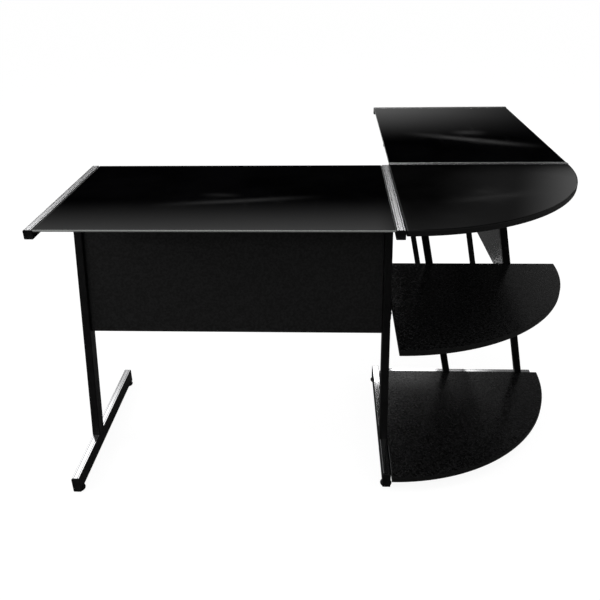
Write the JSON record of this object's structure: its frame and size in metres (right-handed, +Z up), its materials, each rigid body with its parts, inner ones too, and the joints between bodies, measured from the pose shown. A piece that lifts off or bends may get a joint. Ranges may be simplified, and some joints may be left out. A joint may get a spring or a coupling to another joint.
{
  "type": "l-shaped computer desk",
  "caption": "L-shaped computer desk with black glass tops on slanted T-leg steel frames, a quarter-round corner unit with shelves, and a sliding keyboard tray.",
  "frame": {"origin": "on the floor under the middle of the desk's bounding box", "axes": "+X to the right along desk A, the longer desk; +Y from desk A's outer edge along desk B, away from the viewer; +Z up. The user sits behind desk A and left of desk B."},
  "size_m": [1.419, 1.346, 0.762],
  "materials": {
    "black_glass": "glossy black painted safety glass",
    "gloss_board": "gloss black laminated board",
    "fleck_board": "matt black laminated board with a fine fleck",
    "powder_steel": "satin black powder coat on steel",
    "bright_strip": "polished",
    "black_plastic": "moulded, matt black",
    "zinc_steel": "zinc plated rolled steel"
  },
  "bodies": {
    "desk": {"bottom_angle_back": "powder_steel", "bottom_angle_left": "powder_steel", "corner_angle_back": "powder_steel", "corner_angle_left": "powder_steel", "corner_shelf_bottom": "fleck_board", "corner_shelf_middle": "fleck_board", "corner_top": "gloss_board", "cross_rail_a_inner": "powder_steel", "cross_rail_a_outer": "powder_steel", "cross_rail_b_inner": "powder_steel", "cross_rail_b_outer": "powder_steel", "foot_bar_a_left": "powder_steel", "foot_bar_a_right": "powder_steel", "foot_bar_b_far": "powder_steel", "foot_bar_b_near": "powder_steel", "foot_cap_a_left_inner": "black_plastic", "foot_cap_a_left_outer": "black_plastic", "foot_cap_a_right_inner": "black_plastic", "foot_cap_a_right_outer": "black_plastic", "foot_cap_b_far_inner": "black_plastic", "foot_cap_b_far_outer": "black_plastic", "foot_cap_b_near_inner": "black_plastic", "foot_cap_b_near_outer": "black_plastic", "foot_strip_a_left": "bright_strip", "foot_strip_a_right": "bright_strip", "foot_strip_b_far": "bright_strip", "foot_strip_b_near": "bright_strip", "glass_top_a": "black_glass", "glass_top_b": "black_glass", "modesty_panel_a": "fleck_board", "modesty_panel_b": "fleck_board", "post_a_left": "powder_steel", "post_a_right": "powder_steel", "post_b_far_inner": "powder_steel", "post_b_far_outer": "powder_steel", "post_b_near_inner": "powder_steel", "post_b_near_outer": "powder_steel", "rail_a_left": "powder_steel", "rail_a_right": "powder_steel", "rail_b_far": "powder_steel", "rail_b_near": "powder_steel", "rail_strip_a_left": "bright_strip", "rail_strip_a_right": "bright_strip", "rail_strip_b_far": "bright_strip", "rail_strip_b_near": "bright_strip", "shelf_bracket_inner": "powder_steel", "shelf_bracket_left": "powder_steel", "shelf_bracket_outer": "powder_steel", "slide_outer_far": "zinc_steel", "slide_outer_near": "zinc_steel", "tray_hanger_far": "powder_steel", "tray_hanger_near": "powder_steel"},
    "slide_middle_near": {"slide_middle_near": "zinc_steel"},
    "slide_middle_far": {"slide_middle_far": "zinc_steel"},
    "tray": {"tray_board": "fleck_board", "tray_cleat_near": "fleck_board", "tray_cleat_far": "fleck_board", "slide_inner_near": "zinc_steel", "slide_inner_far": "zinc_steel"}
  },
  "joints": [
    {"name": "tray_slide", "type": "slide", "parent": "desk", "child": "tray", "axis": [-1, 0, 0], "range_m": [0, 0.22]},
    {"name": "slide_middle_near_travel", "type": "slide", "parent": "desk", "child": "slide_middle_near", "axis": [-1, 0, 0], "range_m": [0, 0.11]},
    {"name": "slide_middle_far_travel", "type": "slide", "parent": "desk", "child": "slide_middle_far", "axis": [-1, 0, 0], "range_m": [0, 0.11]}
  ],
  "couplings": [
    {"joint": "slide_middle_near_travel", "follows": "tray_slide", "ratio": 0.5},
    {"joint": "slide_middle_far_travel", "follows": "tray_slide", "ratio": 0.5}
  ]
}
